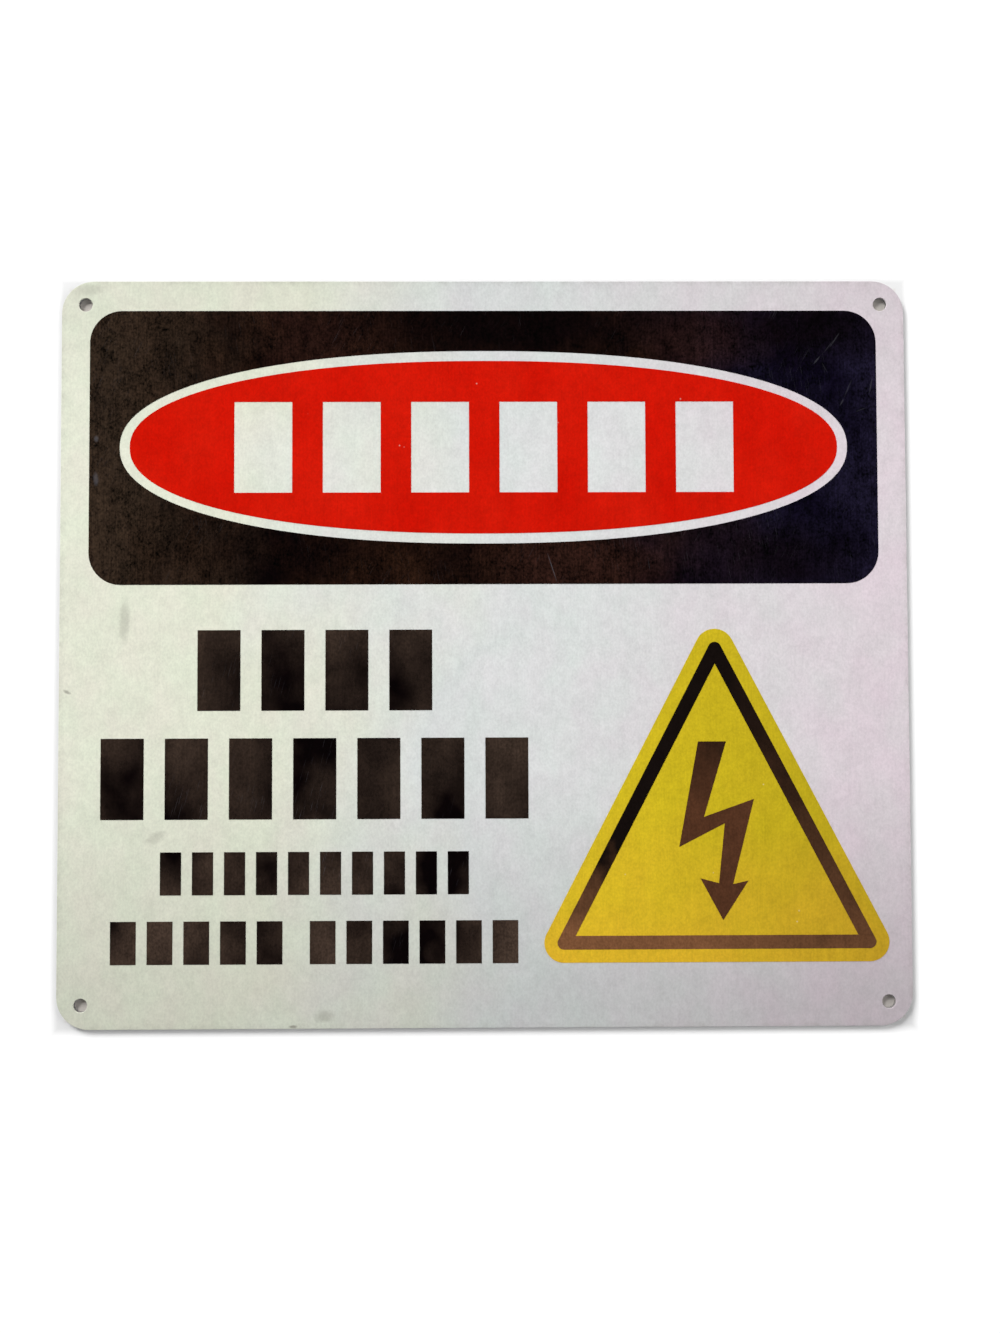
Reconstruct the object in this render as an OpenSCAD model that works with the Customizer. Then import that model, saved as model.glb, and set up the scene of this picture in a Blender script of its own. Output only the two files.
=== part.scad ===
// Flat warning sign: a punched aluminium blank, a white reflective sheet laminated
// over its face, and a header, a hazard triangle and message rows printed on the sheet.
// The sign lies on its back. Origin: centre of the back face. +X runs to the sign's
// right, +Y to its top edge and +Z out of its face. Sizes are in millimetres.

/* [Blank] */
// Width of the blank
plate_w = 250; // [200:1:500]
// Height of the blank
plate_h = 220; // [200:1:450]
// Thickness of the aluminium
plate_t = 1; // [0.5:0.1:3]
// Radius of the blank's corners
plate_corner_r = 9.5; // [2:0.5:20]
// Small bevel along the back edge, left by deburring
edge_break = 0.15; // [0.05:0.05:0.4]

/* [Corner holes] */
// Diameter of the four fixing holes
hole_d = 4; // [3:0.1:8]
// Distance from the blank's edges to each hole's centre
hole_inset = 7; // [5:0.5:15]

/* [Sheet and print] */
// Thickness of the reflective sheet
film_t = 0.2; // [0.1:0.05:0.5]
// Thickness of one pass of ink
ink_t = 0.05; // [0.02:0.01:0.2]

/* [Header] */
// White margin left and right of the black panel
panel_side_margin = 8.4; // [2:0.1:20]
// White margin above the black panel
panel_top_margin = 8.9; // [2:0.1:20]
// Height of the black panel
panel_h = 81.4; // [60:0.1:110]
// Radius of the black panel's corners
panel_corner_r = 9.5; // [2:0.5:20]
// Black left between the panel's ends and the oval opening
oval_side_gap = 8.9; // [3:0.1:20]
// Black left above and below the oval opening
oval_top_gap = 12; // [3:0.1:20]
// Width of the white ring round the red oval
ring_w = 3; // [1:0.1:6]
// Fullness of the oval: 2 is a plain ellipse, more fills out its shoulders
oval_fullness = 2.2; // [2:0.05:3]
// Red left between the oval's ends and the row of white blocks
signal_side_gap = 30.8; // [15:0.1:60]
// Red left above and below the row of white blocks
signal_top_gap = 12.2; // [6:0.1:20]
// Number of white blocks in the header
signal_blocks = 6; // [1:1:10]
// Gap between the white blocks
signal_gap = 9; // [1:0.1:12]

/* [Hazard triangle] */
// White left between the black panel and what is printed below it
body_top_gap = 13.4; // [5:0.1:25]
// White margin below the yellow field
triangle_bottom_margin = 18.7; // [5:0.1:40]
// White margin right of the yellow field
triangle_side_margin = 6.7; // [2:0.1:20]
// Angle between each long side and the upright axis
triangle_half_angle = 27.5; // [20:0.1:32]
// Width of the black outline
outline_w = 3.95; // [2:0.05:8]
// Radius of the black outline's outer corners
outline_corner_r = 1.9; // [1:0.1:6]
// Yellow outside the black outline
yellow_margin = 3.85; // [1:0.05:8]

/* [Bolt symbol] */
// Yellow between the outline's inner apex and the top of the bolt
bolt_top_gap = 23; // [15:0.1:30]
// Yellow between the arrow's tip and the outline below it
bolt_tip_gap = 4.4; // [2:0.1:10]

/* [Message rows] */
// White margin left of the message
message_side_margin = 12.4; // [3:0.1:30]
// White between the message and the yellow field
message_triangle_gap = 4.5; // [2:0.1:20]
// White between the two large rows
large_row_gap = 8.1; // [3:0.1:15]
// White between the large rows and the small rows
middle_row_gap = 9.5; // [3:0.1:15]
// White between the two small rows
small_row_gap = 7.6; // [3:0.1:15]
// Height of a small row
small_row_h = 12.5; // [6:0.1:18]
// Gap between the blocks of a large row
large_block_gap = 6.2; // [1:0.1:8]
// Gap between the blocks of a small row
small_block_gap = 3.2; // [0.5:0.1:5]
// Gap between two groups of blocks in one row
group_gap = 8; // [2:0.1:10]
// Share of the message's width that the first row fills
row_1_share = 0.55; // [0.4:0.01:1]
// Share of the message's width that the second row fills
row_2_share = 1; // [0.4:0.01:1]
// Share of the message's width that the third row fills
row_3_share = 0.72; // [0.6:0.01:1]
// Share of the message's width that the fourth row fills
row_4_share = 0.95; // [0.6:0.01:1]

/* [Hidden] */
$fn = 96;

// Points round an oval
OVAL_STEPS = 144;
// Extra depth that lets a cutter pass through the faces it opens
CUT = 1;

// Levels, from the back face up
film_z = plate_t;
print_z = film_z + film_t;
overprint_z = print_z + ink_t;

hole_x = plate_w / 2 - hole_inset;
hole_y = plate_h / 2 - hole_inset;

// Black panel and the ovals centred in it
panel_w = plate_w - 2 * panel_side_margin;
panel_top = plate_h / 2 - panel_top_margin;
panel_y = panel_top - panel_h / 2;
opening_w = panel_w - 2 * oval_side_gap;
opening_h = panel_h - 2 * oval_top_gap;
red_w = opening_w - 2 * ring_w;
red_h = opening_h - 2 * ring_w;
signal_row_w = red_w - 2 * signal_side_gap;
signal_row_h = red_h - 2 * signal_top_gap;

// What is printed below the panel starts at one level and fills the space to the margins
body_top = panel_top - panel_h - body_top_gap;
yellow_bottom = -plate_h / 2 + triangle_bottom_margin;

// The three triangles are parallel. Each is given by the height from its level base to
// its sharp apex, and a parallel shift of its sides moves that apex by shift / sin(half angle).
apex_shift = 1 / sin(triangle_half_angle);
yellow_corner_r = outline_corner_r + yellow_margin;
yellow_apex = body_top + yellow_corner_r * (apex_shift - 1);
yellow_tri_h = yellow_apex - yellow_bottom;
outline_tri_h = yellow_tri_h - yellow_margin * (apex_shift + 1);
inner_tri_h = outline_tri_h - outline_w * (apex_shift + 1);
outline_bottom = yellow_bottom + yellow_margin;
inner_bottom = outline_bottom + outline_w;

// Half the yellow field's width, measured over its rounded base corners
base_corner_angle = (90 - triangle_half_angle) / 2;
yellow_half_w = yellow_tri_h * tan(triangle_half_angle)
    - yellow_corner_r * (1 / tan(base_corner_angle) - 1);
triangle_x = plate_w / 2 - triangle_side_margin - yellow_half_w;

// Bolt outline at the size it was drawn: x from the triangle's axis, y from the arrow's tip
BOLT_DRAWN_H = 51;
BOLT_OUTLINE = [
    [-5, 51],       // top edge, left end
    [3, 51],        // top edge, right end
    [-3.5, 29.4],   // notch on the right
    [10.9, 34.5],   // right tip
    [4.7, 10.2],    // foot of the shaft, right
    [9.1, 11.2],    // right barb
    [1.8, 0],       // arrow's tip
    [-4.6, 11.9],   // left barb
    [0.7, 10.5],    // foot of the shaft, left
    [2.5, 27.6],    // notch on the left
    [-10.6, 20.9]   // left tip
];
bolt_h = inner_tri_h - bolt_top_gap - bolt_tip_gap;

// Message column between the left margin and the triangle
column_left = -plate_w / 2 + message_side_margin;
column_right = triangle_x - yellow_half_w - message_triangle_gap;
column_w = column_right - column_left;
column_x = (column_left + column_right) / 2;
large_row_h = (body_top - yellow_bottom - large_row_gap - middle_row_gap - small_row_gap
    - 2 * small_row_h) / 2;
row_2_top = body_top - large_row_h - large_row_gap;
row_3_top = row_2_top - large_row_h - middle_row_gap;
row_4_top = row_3_top - small_row_h - small_row_gap;

// Number of blocks in each group of each row
ROW_1_GROUPS = [4];
ROW_2_GROUPS = [7];
ROW_3_GROUPS = [10];
ROW_4_GROUPS = [5, 6];

function total(list, count) = count == 0 ? 0 : list[count - 1] + total(list, count - 1);

// Power of a cosine or sine that keeps its sign
function signed_power(value, power) = sign(value) * pow(abs(value), power);

// Closed oval whose shoulders are as full as oval_fullness says
module oval(w, h) {
    polygon([
        for (step = [0:OVAL_STEPS - 1])
            let (angle = 360 * step / OVAL_STEPS)
                [w / 2 * signed_power(cos(angle), 2 / oval_fullness),
                 h / 2 * signed_power(sin(angle), 2 / oval_fullness)]
    ]);
}

module rounded_rectangle(w, h, r) {
    square([w - 2 * r, h], center = true);
    square([w, h - 2 * r], center = true);
    for (x = [-1, 1] * (w / 2 - r))
        for (y = [-1, 1] * (h / 2 - r))
            translate([x, y])
                circle(r);
}

// Triangle with a level base on y = 0, its axis on x = 0, and corners of radius r.
// h reaches to the sharp apex, before the corner is rounded.
module rounded_triangle(h, r) {
    apex_y = h - r * apex_shift;
    base_x = h * tan(triangle_half_angle) - r / tan(base_corner_angle);
    side_x = r * cos(triangle_half_angle);
    side_y = r * sin(triangle_half_angle);
    polygon([[-base_x, 0], [base_x, 0], [base_x + side_x, r + side_y],
             [side_x, apex_y + side_y], [-side_x, apex_y + side_y],
             [-base_x - side_x, r + side_y]]);
    for (x = [-base_x, base_x])
        translate([x, r])
            circle(r);
    translate([0, apex_y])
        circle(r);
}

module sharp_triangle(h) {
    base_x = h * tan(triangle_half_angle);
    polygon([[-base_x, 0], [base_x, 0], [0, h]]);
}

// One row of equal blocks over a full width w, hanging from y = 0
module block_row(groups, w, h, gap) {
    group_count = len(groups);
    block_count = total(groups, group_count);
    spaces = (block_count - group_count) * gap + (group_count - 1) * group_gap;
    block_w = (w - spaces) / block_count;
    for (group = [0:group_count - 1])
        for (block = [0:groups[group] - 1]) {
            before = total(groups, group) + block;
            x = before * (block_w + gap) + group * (group_gap - gap);
            translate([x - w / 2, -h])
                square([block_w, h]);
        }
}

module holes(depth) {
    for (x = [-hole_x, hole_x])
        for (y = [-hole_y, hole_y])
            translate([x, y, -CUT])
                cylinder(h = depth + 2 * CUT, d = hole_d);
}

// Half the section of the blank across its edge, bevelled at the back
module blank_edge(reach) {
    polygon([[0, 0], [reach - edge_break, 0], [reach, edge_break], [reach, plate_t], [0, plate_t]]);
}

module blank_section(w) {
    blank_edge(w / 2);
    mirror([1, 0])
        blank_edge(w / 2);
}

// The blank: straight runs both ways, which overlap, and a turned solid at each corner
module blank() {
    run_w = plate_w - 2 * plate_corner_r;
    run_h = plate_h - 2 * plate_corner_r;
    rotate([90, 0, 90])
        translate([0, 0, -run_w / 2])
            linear_extrude(run_w)
                blank_section(plate_h);
    rotate([90, 0, 0])
        translate([0, 0, -run_h / 2])
            linear_extrude(run_h)
                blank_section(plate_w);
    for (x = [-1, 1] * run_w / 2)
        for (y = [-1, 1] * run_h / 2)
            translate([x, y, 0])
                rotate_extrude()
                    blank_edge(plate_corner_r);
}

module aluminium_plate() {
    color("silver")
        difference() {
            blank();
            holes(plate_t);
        }
}

module face_film() {
    color("gainsboro")
        translate([0, 0, film_z])
            difference() {
                linear_extrude(film_t)
                    rounded_rectangle(plate_w, plate_h, plate_corner_r);
                holes(film_t);
            }
}

module header_panel() {
    color("#1c1512")
        translate([0, panel_y, print_z])
            linear_extrude(ink_t)
                difference() {
                    rounded_rectangle(panel_w, panel_h, panel_corner_r);
                    oval(opening_w, opening_h);
                }
}

module signal_oval() {
    color("#cf1a0e")
        translate([0, panel_y, print_z])
            linear_extrude(ink_t)
                difference() {
                    oval(red_w, red_h);
                    translate([0, signal_row_h / 2])
                        block_row([signal_blocks], signal_row_w, signal_row_h, signal_gap);
                }
}

module hazard_triangle() {
    color("#d0b41e")
        translate([triangle_x, yellow_bottom, print_z])
            linear_extrude(ink_t)
                rounded_triangle(yellow_tri_h, yellow_corner_r);
}

module triangle_outline() {
    color("#1c1512")
        translate([triangle_x, outline_bottom, overprint_z])
            linear_extrude(ink_t)
                difference() {
                    rounded_triangle(outline_tri_h, outline_corner_r);
                    translate([0, outline_w])
                        sharp_triangle(inner_tri_h);
                }
}

module bolt_symbol() {
    color("#1c1512")
        translate([triangle_x, inner_bottom + bolt_tip_gap, overprint_z])
            linear_extrude(ink_t)
                scale(bolt_h / BOLT_DRAWN_H)
                    polygon(BOLT_OUTLINE);
}

module message_blocks() {
    color("#1c1512")
        translate([column_x, 0, print_z])
            linear_extrude(ink_t) {
                translate([0, body_top])
                    block_row(ROW_1_GROUPS, row_1_share * column_w, large_row_h, large_block_gap);
                translate([0, row_2_top])
                    block_row(ROW_2_GROUPS, row_2_share * column_w, large_row_h, large_block_gap);
                translate([0, row_3_top])
                    block_row(ROW_3_GROUPS, row_3_share * column_w, small_row_h, small_block_gap);
                translate([0, row_4_top])
                    block_row(ROW_4_GROUPS, row_4_share * column_w, small_row_h, small_block_gap);
            }
}

aluminium_plate();
face_film();
header_panel();
signal_oval();
hazard_triangle();
triangle_outline();
bolt_symbol();
message_blocks();
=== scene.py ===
"""Looks of the flat high voltage warning sign: its finish, its light and the camera over it."""

import math

import bmesh
import bpy
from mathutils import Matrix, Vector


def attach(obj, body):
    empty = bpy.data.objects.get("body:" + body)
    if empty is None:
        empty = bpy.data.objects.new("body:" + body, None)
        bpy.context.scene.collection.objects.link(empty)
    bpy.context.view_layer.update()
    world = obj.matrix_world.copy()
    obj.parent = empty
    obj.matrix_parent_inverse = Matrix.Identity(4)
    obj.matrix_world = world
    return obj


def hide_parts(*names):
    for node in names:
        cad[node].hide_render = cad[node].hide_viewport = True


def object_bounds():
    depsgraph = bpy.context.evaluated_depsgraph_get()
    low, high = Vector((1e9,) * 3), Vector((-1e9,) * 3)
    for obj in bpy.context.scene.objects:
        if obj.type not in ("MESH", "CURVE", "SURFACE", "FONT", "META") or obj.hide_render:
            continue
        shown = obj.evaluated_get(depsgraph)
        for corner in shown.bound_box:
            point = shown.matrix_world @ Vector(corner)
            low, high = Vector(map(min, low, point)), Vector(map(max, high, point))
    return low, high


MM = 0.001

# Camera: a phone held flat over the sign. Place in millimetres, turns in degrees.
LENS_MM = 26
SENSOR_MM = 36
CAMERA_PLACE = (2.48, -12.11, 284.51)
CAMERA_TURN = (1.511, -0.393, -0.19)

# Lamps: place in millimetres, width of the square lamp in millimetres, power in watts
KEY = ((-1100, 1400, 850), 800, 50)
FILL = ((1000, 300, 450), 900, 6)

# Rounding of the sheet's cut edge, and the wider roll that the punch leaves round each hole
SHEET_EDGE_R = 0.1
HOLE_ROLL_R = 0.18
EDGE_STEPS = 4
HOLE_REACH = 3

# Print and sheet colours as linear values
# The sheet's whites shift across the sign, lighter and greener on the left and rosier on the right: partly the
# sheet's own tint and partly painted light.
WHITE_LEFT = (0.815, 0.833, 0.700, 1)
WHITE_MIDDLE = (0.760, 0.780, 0.780, 1)
WHITE_RIGHT = (0.765, 0.680, 0.735, 1)
GREEN_CAST = (0.975, 1.000, 0.972, 1)
ROSE_CAST = (1.000, 0.974, 0.978, 1)
GRIME = (0.260, 0.250, 0.210, 1)
# The header's brown, hazy and navy blacks are partly the ink's own tone and partly painted reflection.
BLACK_DEEP = (0.0022, 0.0008, 0.0010, 1)
BLACK_BROWN = (0.0178, 0.0070, 0.0036, 1)
BLACK_HAZE_REFLECTION = (0.0300, 0.0190, 0.0120, 1)
BLACK_WARM = (0.0240, 0.0088, 0.0062, 1)
NAVY_DEEP = (0.0022, 0.0012, 0.0058, 1)
NAVY_HAZE = (0.0085, 0.0066, 0.0180, 1)
# Brown painted as reflection on the message's black.
BROWN_REFLECTION_BLACK = (0.0540, 0.0345, 0.0250, 1)
# Near-black tops, and brown painted as reflection lower down, for the outline and the bolt.
OUTLINE_TOP = (0.0070, 0.0042, 0.0034, 1)
OUTLINE_BROWN_REFLECTION = (0.2050, 0.0880, 0.0390, 1)
BOLT_TOP = (0.0340, 0.0150, 0.0078, 1)
BOLT_BROWN_REFLECTION = (0.0900, 0.0345, 0.0165, 1)
SCUFF = (0.120, 0.118, 0.135, 1)
RED_FULL = (0.615, 0.0060, 0.0010, 1)
RED_THIN = (0.660, 0.0100, 0.0024, 1)
YELLOW_LEMON = (0.685, 0.522, 0.0170, 1)
YELLOW_WARM = (0.780, 0.480, 0.0280, 1)
METAL_BRIGHT = (0.800, 0.800, 0.805, 1)
METAL_DULL = (0.560, 0.565, 0.575, 1)

# Grey of the ground round the sign, and the darker grey painted under it as shade, which shows only through the
# holes
GROUND_LOW = (0.86, 0.86, 0.86, 1)
GROUND_HIGH = (0.88, 0.88, 0.88, 1)
GROUND_HOLE_SHADE = (0.74, 0.69, 0.64, 1)

# Marks on the face: centre x and y, half length and half width in millimetres,
# turn in degrees, and strength
SMUDGES = [
    (-106, 9, 6.5, 1.6, 88, 0.30),
    (-122.6, -11.8, 1.3, 0.5, -25, 0.65),
    (-96.4, -54.4, 3.2, 1.6, 25, 0.28),
    (-56.3, -8.1, 0.5, 0.4, 0, 0.45),
    (-47, -106.5, 3.0, 1.8, 10, 0.35),
    (-56.1, -109.4, 1.2, 0.5, 0, 0.80),
    (-117, 107.5, 5.0, 1.8, 5, 0.25),
]
SCUFFS_AND_GLINTS = [
    (20, 24.4, 4.3, 0.16, -72, 0.42),
    (104.3, 92.2, 2.6, 0.22, 56, 0.18),
    (102.6, 90.4, 2.2, 0.18, 52, 0.13),
    (99.0, 86.3, 1.4, 0.26, 50, 0.24),
    (101.3, 84.0, 1.8, 0.16, 118, 0.10),
    (108.2, 77.8, 2.6, 0.22, 66, 0.14),
    (106.3, 73.6, 1.1, 0.26, 60, 0.20),
    (115.0, 78.6, 2.4, 0.22, 78, 0.20),
    (112.0, 71.4, 1.6, 0.18, 20, 0.12),
    (88.5, 77.0, 1.7, 0.16, 44, 0.10),
    # The last two rows are light spots at the header's left edge: painted glints.
    (-114.6, 63, 0.7, 1.0, 0, 0.40),
    (-114.6, 51, 0.8, 2.0, 5, 0.35),
]

# Broad patches in the header's black, in the same terms: deep ones, and hazy ones that are painted reflection
BLACK_POOLS = [
    (10, 97, 38, 10, 0, 0.95),
    (98, 97, 22, 9, 0, 0.80),
    (-62, 30, 22, 10, 0, 0.40),
    (92, 27, 18, 8, 0, 0.60),
]
HAZE_REFLECTION_PATCHES = [
    (27, 25, 22, 8, 0, 0.80),
    (64, 93, 16, 8, 0, 0.50),
    (-48, 93, 16, 9, 0, 0.45),
]

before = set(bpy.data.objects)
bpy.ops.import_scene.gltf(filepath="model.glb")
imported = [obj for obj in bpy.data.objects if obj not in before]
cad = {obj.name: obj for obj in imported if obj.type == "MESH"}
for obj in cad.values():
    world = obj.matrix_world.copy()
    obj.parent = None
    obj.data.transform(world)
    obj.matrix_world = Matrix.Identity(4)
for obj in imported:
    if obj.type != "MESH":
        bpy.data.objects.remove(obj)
cad_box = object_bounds()


class Finish:
    """One material, with short calls that add its nodes and join them."""

    def __init__(self, name):
        self.material = bpy.data.materials.new(name)
        self.material.use_nodes = True
        self.tree = self.material.node_tree
        self.surface = self.tree.nodes["Principled BSDF"]
        self.place = self.add("ShaderNodeTexCoord").outputs["Object"]
        self.x, self.y, self.z = self.split(self.place)

    def add(self, kind, **settings):
        node = self.tree.nodes.new(kind)
        for key, value in settings.items():
            setattr(node, key, value)
        return node

    def feed(self, socket, value):
        """Joins a node's output to the socket, or sets the socket to a plain value."""
        if isinstance(value, bpy.types.NodeSocket):
            self.tree.links.new(value, socket)
        else:
            socket.default_value = value

    def split(self, vector):
        node = self.add("ShaderNodeSeparateXYZ")
        self.feed(node.inputs[0], vector)
        return tuple(node.outputs)

    def seen(self, size_mm, centre_mm=(0, 0), turn=0, flat=False):
        """The surface's place from a centre, turned by degrees and divided by a size in x and y.
        A flat one takes no notice of height."""
        node = self.add("ShaderNodeMapping", vector_type="TEXTURE")
        self.feed(node.inputs["Vector"], self.place)
        node.inputs["Location"].default_value = (centre_mm[0] * MM, centre_mm[1] * MM, 0)
        node.inputs["Rotation"].default_value = (0, 0, math.radians(turn))
        height = 1.0 if flat else size_mm[1] * MM
        node.inputs["Scale"].default_value = (size_mm[0] * MM, size_mm[1] * MM, height)
        return node.outputs["Vector"]

    def noise(self, size_mm, detail=2.0, roughness=0.5, turn=0, shift_mm=(0, 0)):
        """Noise whose features measure about the given width and length."""
        node = self.add("ShaderNodeTexNoise")
        self.feed(node.inputs["Vector"], self.seen(size_mm, shift_mm, turn))
        node.inputs["Scale"].default_value = 1
        node.inputs["Detail"].default_value = detail
        node.inputs["Roughness"].default_value = roughness
        return node.outputs["Fac"]

    def cells(self, size_mm):
        """Distance to the middle of the nearest cell, in cell widths."""
        node = self.add("ShaderNodeTexVoronoi")
        self.feed(node.inputs["Vector"], self.seen((size_mm, size_mm)))
        node.inputs["Scale"].default_value = 1
        return node.outputs["Distance"]

    def range(self, value, low, high, to_low=0.0, to_high=1.0):
        node = self.add("ShaderNodeMapRange", clamp=True)
        self.feed(node.inputs["Value"], value)
        for name, number in (("From Min", low), ("From Max", high), ("To Min", to_low), ("To Max", to_high)):
            node.inputs[name].default_value = number
        return node.outputs["Result"]

    def maths(self, operation, first, second=0.0):
        node = self.add("ShaderNodeMath", operation=operation)
        self.feed(node.inputs[0], first)
        self.feed(node.inputs[1], second)
        return node.outputs["Value"]

    def total(self, *values):
        result = values[0]
        for value in values[1:]:
            result = self.maths("ADD", result, value)
        return result

    def times(self, first, second):
        return self.maths("MULTIPLY", first, second)

    def most(self, first, second):
        return self.maths("MAXIMUM", first, second)

    def mix(self, factor, first, second, blend="MIX"):
        node = self.add("ShaderNodeMix", data_type="RGBA", blend_type=blend)
        sockets = {socket.identifier: socket for socket in (*node.inputs, *node.outputs)}
        self.feed(sockets["Factor_Float"], factor)
        self.feed(sockets["A_Color"], first)
        self.feed(sockets["B_Color"], second)
        return sockets["Result_Color"]

    def shaded(self, colour, shade):
        return self.mix(1.0, colour, shade, blend="MULTIPLY")

    def bump(self, height, depth_mm, strength):
        node = self.add("ShaderNodeBump")
        self.feed(node.inputs["Height"], height)
        node.inputs["Distance"].default_value = depth_mm * MM
        node.inputs["Strength"].default_value = strength
        self.feed(self.surface.inputs["Normal"], node.outputs["Normal"])

    def set(self, **values):
        """Feeds the shader's own sockets, named with underscores."""
        for key, value in values.items():
            self.feed(self.surface.inputs[key.replace("_", " ")], value)


def beads(finish):
    """Relief of the glass beads under the sheet's clear face, which the print follows too."""
    grain = finish.noise((0.45, 0.45), detail=3, roughness=0.6)
    return finish.total(grain, finish.times(finish.cells(0.22), 0.35))


def grain_shade(finish, depth):
    """Multiplier for the mottle of beads and film, at three scales, 1 on average."""
    fine = finish.range(finish.noise((0.55, 0.75), detail=2), 0.3, 0.7, -depth, depth)
    medium = finish.range(finish.noise((2.2, 2.8), detail=2), 0.3, 0.7, -depth * 0.6, depth * 0.6)
    broad = finish.range(finish.noise((9, 13), detail=2), 0.3, 0.7, 1 - depth * 0.4, 1 + depth * 0.4)
    return finish.total(fine, medium, broad)


def brush_shade(finish, depth):
    """Multiplier for the faint upright streaks left by rolling and squeegee, 1 on average."""
    return finish.range(finish.noise((0.5, 16), detail=2), 0.3, 0.7, 1 - depth, 1 + depth)


def slope(finish, along, start_mm, end_mm, stray_mm):
    """Value from 0 at one place to 1 at another, with a border that strays from side to side."""
    stray = finish.noise((stray_mm * 2, stray_mm * 2.4), detail=3)
    stray = finish.range(stray, 0.3, 0.7, -stray_mm * MM, stray_mm * MM)
    return finish.range(finish.total(along, stray), start_mm * MM, end_mm * MM)


def marks(finish, rows, ragged_mm=0.9, soft_end=1.7):
    """Mask of ragged, soft-edged marks."""
    ragged = finish.noise((ragged_mm, ragged_mm), detail=4, roughness=0.7)
    mask = None
    for x, y, half_length, half_width, turn, strength in rows:
        reach = finish.add("ShaderNodeVectorMath", operation="LENGTH")
        finish.feed(reach.inputs[0], finish.seen((half_length, half_width), (x, y), turn, flat=True))
        edge = finish.total(reach.outputs["Value"], ragged)
        mark = finish.range(edge, 1.0, soft_end, strength, 0.0)
        mask = mark if mask is None else finish.most(mask, mark)
    return mask


def hairlines(finish, turn, shift):
    """Mask of fine scratches that lie about one direction, in loose clusters."""
    line = finish.noise((7, 0.16), detail=1.5, turn=turn)
    cluster = finish.noise((26, 26), shift_mm=(shift, shift))
    return finish.times(finish.range(line, 0.67, 0.73), finish.range(cluster, 0.50, 0.66))


def edge_depth(finish):
    """How far a place lies inside the sign's outline, below nothing where it lies outside."""
    in_x = finish.maths("SUBTRACT", cad_box[1][0], finish.maths("ABSOLUTE", finish.x))
    in_y = finish.maths("SUBTRACT", cad_box[1][1], finish.maths("ABSOLUTE", finish.y))
    return finish.maths("MINIMUM", in_x, in_y)


def edge_grime(finish):
    """Mask of dirt held along the outer edge."""
    rim = finish.range(edge_depth(finish), 0.0, 1.8 * MM, 1.0, 0.0)
    patch = finish.noise((4, 4), detail=5, roughness=0.7)
    return finish.times(rim, finish.range(patch, 0.45, 0.75, 0.05, 0.4))


def sheet_finish():
    """White reflective sheet: mottled beads under a clear face, a shifting tint that is partly painted light,
    painted shade toward the bottom and the top edge, and faint grime.
    """
    finish = Finish("white_reflective_sheet")
    white = finish.mix(slope(finish, finish.x, -70, -5, 30), WHITE_LEFT, WHITE_MIDDLE)
    white = finish.mix(slope(finish, finish.x, 25, 115, 20), white, WHITE_RIGHT)
    cast = finish.range(finish.noise((11, 15), detail=3), 0.35, 0.65)
    white = finish.shaded(white, finish.mix(cast, GREEN_CAST, ROSE_CAST))
    white = finish.shaded(white, grain_shade(finish, 0.06))
    white = finish.shaded(white, brush_shade(finish, 0.012))
    # Painted shade: darker toward the bottom, more so on the right, and slightly darker toward the top edge.
    bottom_shade_depth = finish.range(finish.x, -60 * MM, 110 * MM, 0.19, 0.30)
    low = finish.times(finish.range(finish.y, -35 * MM, -105 * MM), bottom_shade_depth)
    high = finish.range(finish.y, 60 * MM, 105 * MM, 1.0, 0.89)
    white = finish.shaded(white, finish.times(finish.maths("SUBTRACT", 1.0, low), high))
    dirt = finish.most(marks(finish, SMUDGES), edge_grime(finish))
    finish.set(Base_Color=finish.mix(dirt, white, GRIME))

    gloss = finish.noise((18, 18), detail=4, roughness=0.65)
    finish.set(Roughness=finish.range(gloss, 0.3, 0.7, 0.30, 0.44))
    finish.set(IOR=1.5, Coat_Weight=0.3, Coat_Roughness=0.22)
    finish.bump(beads(finish), 0.02, 0.5)
    return finish.material


def ink_surface(finish, gloss_low, gloss_high, worn=None):
    """Gloss and relief shared by the inks; worn spots are duller."""
    gloss = finish.range(finish.noise((9, 12), detail=4, roughness=0.6), 0.3, 0.7, gloss_low, gloss_high)
    if worn is not None:
        gloss = finish.total(gloss, finish.times(worn, 0.2))
    finish.set(Roughness=gloss, IOR=1.45)
    finish.bump(beads(finish), 0.014, 0.4)


def header_black_finish():
    """Full black of the header panel: brown-black patches, hazy at the left end, cooler
    toward the right end, finely scuffed, and with two painted glints at the left edge.
    Its brown, hazy and cool tones are partly the ink's own tone and partly painted reflection."""
    finish = Finish("header_black_ink")
    patch = finish.range(finish.noise((24, 34), detail=7, roughness=0.62), 0.36, 0.66)
    warm = finish.mix(patch, BLACK_DEEP, BLACK_BROWN)
    warm = finish.mix(finish.times(slope(finish, finish.x, -65, -112, 14), 0.8), warm, BLACK_HAZE_REFLECTION)
    cool = finish.mix(patch, NAVY_DEEP, NAVY_HAZE)
    cool = finish.mix(slope(finish, finish.x, 100, 118, 8), cool, NAVY_HAZE)
    ink = finish.mix(slope(finish, finish.x, 35, 90, 20), warm, cool)
    ink = finish.mix(marks(finish, HAZE_REFLECTION_PATCHES, 14, 2.1), ink, BLACK_WARM)
    ink = finish.mix(marks(finish, BLACK_POOLS, 14, 2.1), ink, BLACK_DEEP)
    ink = finish.shaded(ink, grain_shade(finish, 0.6))
    ink = finish.shaded(ink, brush_shade(finish, 0.25))
    worn = finish.most(hairlines(finish, 62, 0), hairlines(finish, 100, 40))
    worn = finish.most(finish.times(worn, 0.2), marks(finish, SCUFFS_AND_GLINTS))
    finish.set(Base_Color=finish.mix(worn, ink, SCUFF))
    ink_surface(finish, 0.11, 0.20, worn)
    return finish.material


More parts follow.
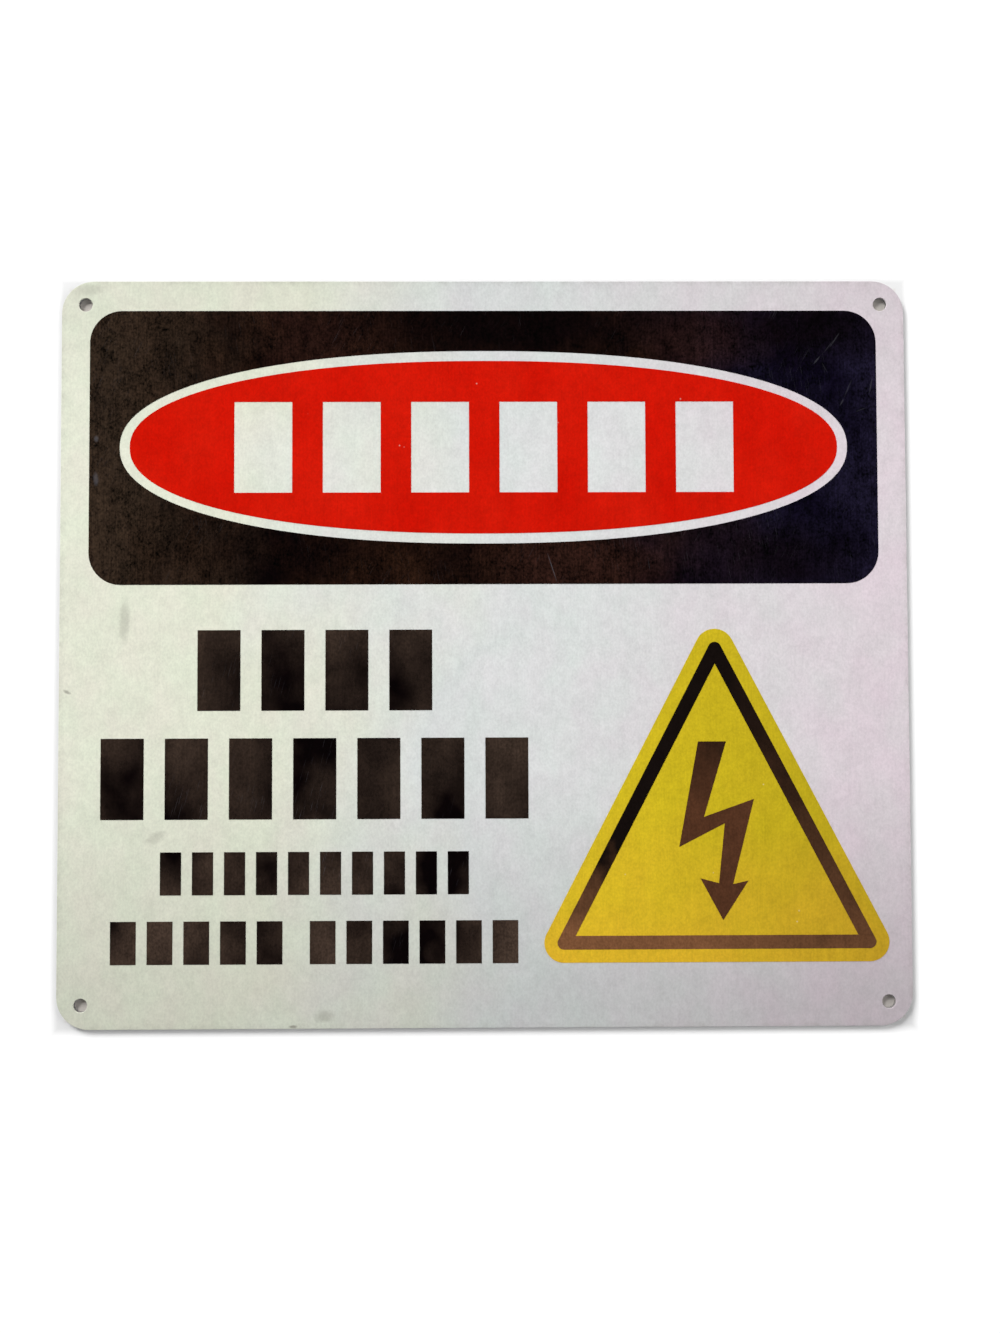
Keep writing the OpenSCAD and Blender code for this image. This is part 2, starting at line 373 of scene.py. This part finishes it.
def message_black_finish():
    """Black of the message: deep black with brown patches, stronger toward the lower rows, that are painted
    reflection.
    """
    finish = Finish("message_black_ink")
    patch = finish.range(finish.noise((38, 44), detail=4, roughness=0.5), 0.38, 0.64)
    # Painted reflection: the brown grows stronger toward the lower rows.
    thin = finish.range(finish.y, -48 * MM, -72 * MM, 0.85, 1.3)
    ink = finish.mix(patch, BLACK_DEEP, finish.shaded(BROWN_REFLECTION_BLACK, thin))
    ink = finish.shaded(ink, grain_shade(finish, 0.26))
    ink = finish.shaded(ink, brush_shade(finish, 0.08))
    worn = finish.times(hairlines(finish, 75, 20), 0.4)
    finish.set(Base_Color=finish.mix(worn, ink, SCUFF))
    ink_surface(finish, 0.14, 0.24, worn)
    return finish.material


def outline_brown_reflection(finish):
    """How far the outline's painted brown reflection reaches: only at the foot on the left, early on the right.
    """
    fall = slope(finish, finish.y, 0, -90, 8)
    early = finish.times(finish.times(fall, fall), finish.range(finish.x, 60 * MM, 80 * MM, 0.0, 0.68))
    late = slope(finish, finish.y, -60, -82, 5)
    return finish.most(early, finish.times(late, finish.range(finish.x, 60 * MM, 110 * MM, 1.0, 0.5)))


# How far the bolt's painted brown reflection reaches, growing lower down.
def bolt_brown_reflection(finish):
    return slope(finish, finish.y, -26, -46, 6)


def overprint_finish(name, top, low, brown_reflection):
    """Black printed over the yellow: near black above, with brown painted as reflection below."""
    finish = Finish(name)
    ink = finish.mix(brown_reflection(finish), top, low)
    ink = finish.shaded(ink, grain_shade(finish, 0.16))
    ink = finish.shaded(ink, brush_shade(finish, 0.05))
    finish.set(Base_Color=ink)
    ink_surface(finish, 0.16, 0.26)
    return finish.material


def colour_ink(finish, full, thin, patch, depth):
    """Colour ink over the beads: fuller and thinner patches, and pinholes that show the white."""
    ink = finish.mix(patch, full, thin)
    ink = finish.shaded(ink, grain_shade(finish, depth))
    ink = finish.shaded(ink, brush_shade(finish, depth * 0.4))
    spot = finish.range(finish.cells(5.5), 0.03, 0.055, 0.3, 0.0)
    chance = finish.range(finish.noise((17, 17)), 0.54, 0.58)
    finish.set(Base_Color=finish.mix(finish.times(spot, chance), ink, WHITE_LEFT))
    ink_surface(finish, 0.16, 0.26)


def red_finish():
    finish = Finish("red_ink")
    patch = finish.range(finish.noise((20, 28), detail=4, roughness=0.55), 0.35, 0.65)
    colour_ink(finish, RED_FULL, RED_THIN, patch, 0.09)
    return finish.material


def yellow_finish():
    """Yellow that warms toward the base, with painted shade darkening it toward the right corner."""
    finish = Finish("yellow_ink")
    warmth = slope(finish, finish.y, -42, -96, 12)
    # Painted shade: darker toward the right corner.
    right_shade = finish.range(finish.x, 40 * MM, 115 * MM, 1.0, 0.72)
    lemon = finish.shaded(YELLOW_LEMON, right_shade)
    warm = finish.shaded(YELLOW_WARM, right_shade)
    colour_ink(finish, lemon, warm, warmth, 0.085)
    return finish.material


def metal_finish():
    """Mill-finish aluminium: fine rolling lines along X, and a sheared edge that is
    burnished near the face and torn and dull below."""
    finish = Finish("mill_aluminium")
    fine = finish.noise((30, 0.18), detail=3, roughness=0.6)
    broad = finish.noise((90, 5), detail=3, roughness=0.6)
    lines = finish.total(finish.times(fine, 0.6), finish.times(broad, 0.4))
    normal_z = finish.split(finish.add("ShaderNodeNewGeometry").outputs["Normal"])[2]
    cut = finish.range(finish.maths("ABSOLUTE", normal_z), 0.3, 0.8, 1.0, 0.0)
    ragged = finish.range(finish.noise((0.8, 0.8), detail=3), 0.3, 0.7, -0.12 * MM, 0.12 * MM)
    torn = finish.times(cut, finish.range(finish.total(finish.z, ragged), 0.55 * MM, 0.70 * MM, 1.0, 0.0))
    metal = finish.mix(finish.range(lines, 0.4, 0.6), METAL_DULL, METAL_BRIGHT)
    finish.set(Base_Color=finish.mix(torn, metal, METAL_DULL))
    finish.set(Metallic=1.0)
    rough = finish.range(lines, 0.35, 0.65, 0.26, 0.42)
    finish.set(Roughness=finish.total(rough, finish.times(torn, 0.22)))
    pitted = finish.times(torn, finish.noise((0.15, 0.15), detail=3, roughness=0.7))
    finish.bump(finish.total(lines, pitted), 0.02, 0.45)
    return finish.material


def dress(node_name, material):
    for slot in cad[node_name].material_slots:
        slot.material = material


def rounded_edges(mesh, edges, radius_mm):
    bmesh.ops.bevel(mesh, geom=edges, offset=radius_mm * MM, segments=EDGE_STEPS, affect="EDGES", profile=0.5)


def sheet_piece(material):
    """The sheet with its cut edge and its hole edges rounded over, in the place of face_film."""
    mesh = bmesh.new()
    mesh.from_mesh(cad["face_film"].data)
    bmesh.ops.remove_doubles(mesh, verts=mesh.verts, dist=0.001 * MM)
    bmesh.ops.dissolve_limit(mesh, angle_limit=math.radians(0.5), verts=mesh.verts, edges=mesh.edges)
    top = max(vertex.co.z for vertex in mesh.verts)
    half_w, half_h = cad_box[1][0], cad_box[1][1]

    def upper_edges(near_hole):
        """Edges between the face and a wall, at the holes or round the outside."""
        found = []
        for edge in mesh.edges:
            level = all(abs(vertex.co.z - top) < 0.01 * MM for vertex in edge.verts)
            walled = any(abs(face.normal.z) < 0.5 for face in edge.link_faces)
            middle = (edge.verts[0].co + edge.verts[1].co) / 2
            inside = max(abs(middle.x) - half_w, abs(middle.y) - half_h) < -HOLE_REACH * MM
            if level and walled and inside == near_hole:
                found.append(edge)
        return found

    rounded_edges(mesh, upper_edges(near_hole=True), HOLE_ROLL_R)
    rounded_edges(mesh, upper_edges(near_hole=False), SHEET_EDGE_R)
    data = bpy.data.meshes.new("reflective_sheet")
    mesh.to_mesh(data)
    mesh.free()
    data.materials.append(material)
    piece = bpy.data.objects.new("reflective_sheet", data)
    bpy.context.scene.collection.objects.link(piece)
    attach(piece, "root")
    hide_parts("face_film")


def build_sign():
    sheet_piece(sheet_finish())
    dress("aluminium_plate", metal_finish())
    dress("header_panel", header_black_finish())
    dress("message_blocks", message_black_finish())
    dress("signal_oval", red_finish())
    dress("hazard_triangle", yellow_finish())
    dress("triangle_outline", overprint_finish("outline_black_ink", OUTLINE_TOP, OUTLINE_BROWN_REFLECTION, outline_brown_reflection))
    dress("bolt_symbol", overprint_finish("bolt_black_ink", BOLT_TOP, BOLT_BROWN_REFLECTION, bolt_brown_reflection))


def build_floor():
    """Plain pale ground, lifted to white where it is seen, less so close round the sign, with darker grey
    painted under the sign as shade in the holes.
    """
    bpy.ops.mesh.primitive_plane_add(size=20)
    floor = bpy.context.object
    floor.name = "floor"
    finish = Finish("white_ground")
    grain = finish.mix(finish.noise((40, 40)), GROUND_LOW, GROUND_HIGH)
    # Painted shade: a darker ground under the sign, seen through the holes.
    hole_shade = finish.range(edge_depth(finish), HOLE_REACH * MM / 2, HOLE_REACH * MM)
    finish.set(Base_Color=finish.mix(hole_shade, grain, GROUND_HOLE_SHADE))
    finish.set(Roughness=0.9, Specular_IOR_Level=0.0, Emission_Color=(1, 1, 1, 1))
    path = finish.add("ShaderNodeLightPath").outputs
    seen = finish.most(path["Is Camera Ray"], path["Is Glossy Ray"])
    distance = finish.add("ShaderNodeVectorMath", operation="LENGTH")
    finish.feed(distance.inputs[0], finish.place)
    lift = finish.range(distance.outputs["Value"], 0.3, 1.5, 0.0, 0.35)
    lift = finish.total(lift, finish.range(distance.outputs["Value"], 1.5, 4.0, 0.0, 0.45))
    lift = finish.total(lift, finish.range(edge_depth(finish), -3 * MM, 0.0, 0.32, 0.0))
    finish.set(Emission_Strength=finish.times(seen, lift))
    floor.data.materials.append(finish.material)


def add_lamp(name, lamp_row, target):
    place_mm, width_mm, power = lamp_row
    lamp = bpy.data.lights.new(name, "AREA")
    lamp.size = width_mm * MM
    lamp.energy = power
    holder = bpy.data.objects.new(name, lamp)
    holder.location = [value * MM for value in place_mm]
    holder.visible_glossy = False
    bpy.context.scene.collection.objects.link(holder)
    aim = holder.constraints.new("TRACK_TO")
    aim.target = target
    aim.track_axis = "TRACK_NEGATIVE_Z"
    aim.up_axis = "UP_Y"


def build_light():
    """Soft white sky, dim straight overhead so that gloss stays dark, and two broad lamps."""
    world = bpy.data.worlds.new("studio")
    bpy.context.scene.world = world
    world.use_nodes = True
    tree = world.node_tree
    sky = tree.nodes["Background"]
    place = tree.nodes.new("ShaderNodeTexCoord").outputs["Generated"]
    split = tree.nodes.new("ShaderNodeSeparateXYZ")
    tree.links.new(place, split.inputs[0])
    level = tree.nodes.new("ShaderNodeMapRange")
    level.interpolation_type = "SMOOTHSTEP"
    tree.links.new(split.outputs["Z"], level.inputs["Value"])
    for name, number in (("From Min", 0.35), ("From Max", 0.70), ("To Min", 1.0), ("To Max", 0.02)):
        level.inputs[name].default_value = number
    tree.links.new(level.outputs["Result"], sky.inputs["Strength"])
    sky.inputs["Color"].default_value = (1, 1, 1, 1)
    target = bpy.data.objects.new("aim", None)
    bpy.context.scene.collection.objects.link(target)
    add_lamp("key", KEY, target)
    add_lamp("fill", FILL, target)


def build_camera():
    data = bpy.data.cameras.new("camera")
    data.sensor_fit = "VERTICAL"
    data.sensor_height = SENSOR_MM
    data.lens = LENS_MM
    data.clip_start = 0.01
    data.dof.use_dof = False
    camera = bpy.data.objects.new("camera", data)
    camera.location = [value * MM for value in CAMERA_PLACE]
    camera.rotation_euler = [math.radians(value) for value in CAMERA_TURN]
    bpy.context.scene.collection.objects.link(camera)
    bpy.context.scene.camera = camera


bpy.context.scene.view_settings.view_transform = "Standard"
build_camera()
build_sign()
build_floor()
build_light()
